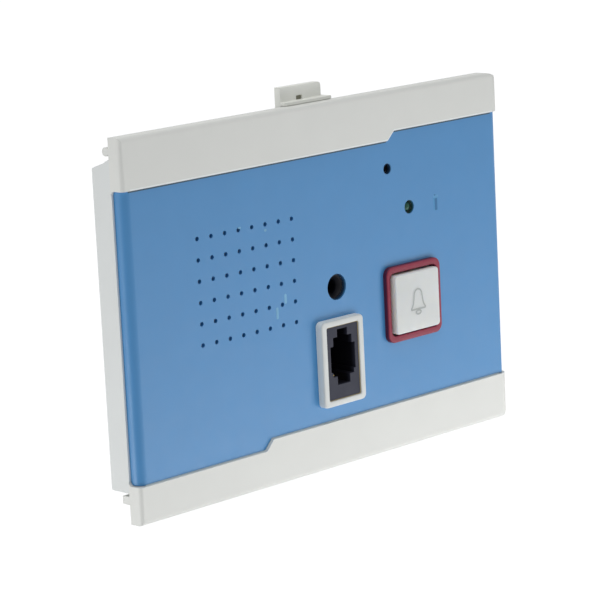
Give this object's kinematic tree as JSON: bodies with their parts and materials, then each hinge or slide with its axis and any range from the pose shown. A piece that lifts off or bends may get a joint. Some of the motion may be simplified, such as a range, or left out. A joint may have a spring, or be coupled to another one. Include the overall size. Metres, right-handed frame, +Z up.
{
  "type": "nurse call substation",
  "caption": "Wall-box nurse call substation: blue-and-white panel with a red-framed call button, handset and audio sockets, speaker, microphone, lamp and a top release latch",
  "frame": {"origin": "middle of the two wall-box screws, on the seat plane at the back of the rear base", "axes": "+X right seen from the front, +Y into the wall, +Z up"},
  "size_m": [0.1286, 0.028, 0.0938],
  "materials": {
    "white_shell": "fine satin moulded plastic",
    "blue_fascia": "matt blue film on plastic",
    "rear_white": "satin moulded plastic",
    "latch_white": "satin moulded plastic",
    "call_red": "gloss moulded plastic",
    "cap_white": "satin moulded plastic",
    "socket_black": "matt moulded plastic",
    "bezel_white": "satin moulded plastic",
    "switch_plastic": "matt moulded plastic",
    "lamp_green": "tinted clear epoxy",
    "contact_gold": "gold-plated spring wire",
    "steel": "zinc-plated steel",
    "soft_black": "soft moulded rubber",
    "foam_gray": "closed-cell foam",
    "cone_paper": "pressed paper",
    "board_green": "solder-masked laminate",
    "chip_black": "moulded epoxy",
    "can_aluminium": "drawn can",
    "coil_yellow": "taped winding on a laminated core",
    "header_ivory": "moulded nylon",
    "terminal_green": "moulded nylon",
    "label_silver": "blank metallised film",
    "wire_red": "vinyl insulation",
    "wire_yellow": "vinyl insulation",
    "wire_white": "vinyl insulation",
    "wire_blue": "vinyl insulation"
  },
  "bodies": {
    "housing": {"front_housing": "white_shell", "blue_fascia": "blue_fascia", "rear_base": "rear_white", "call_bezel": "call_red", "button_switch": "switch_plastic", "handset_bezel": "bezel_white", "handset_socket": "socket_black", "handset_contacts": "contact_gold", "audio_jack": "socket_black", "audio_contacts": "steel", "jack_bracket": "steel", "bracket_screws": "steel", "status_led": "lamp_green", "mic_capsule": "can_aluminium", "mic_boot": "soft_black", "speaker_frame": "steel", "speaker_cone": "cone_paper", "speaker_magnet": "steel", "speaker_gasket": "foam_gray", "speaker_clamps": "steel", "clamp_screws": "steel", "main_board": "board_green", "board_screws": "steel", "board_chips": "chip_black", "capacitors": "can_aluminium", "speech_transformer": "coil_yellow", "board_connectors": "header_ivory", "terminal_block": "terminal_green", "terminal_screws": "steel", "cable_grommet": "soft_black", "rating_label": "label_silver", "speaker_wires": "wire_red", "handset_wires": "wire_yellow", "audio_wires": "wire_white", "line_wires": "wire_blue"},
    "call_button": {"call_cap": "cap_white", "switch_plunger": "switch_plastic"},
    "latch": {"release_latch": "latch_white", "latch_spring": "steel"}
  },
  "joints": [
    {"name": "call_button_press", "type": "slide", "parent": "housing", "child": "call_button", "axis": [0, 1, 0], "range_m": [0, 0.001], "stiffness_N_per_m": 1500, "springref_m": -0.001},
    {"name": "latch_slide", "type": "slide", "parent": "housing", "child": "latch", "axis": [0, 0, 1], "range_m": [0, 0.003], "stiffness_N_per_m": 400, "springref_m": -0.003, "deforming": ["latch_spring"]}
  ]
}
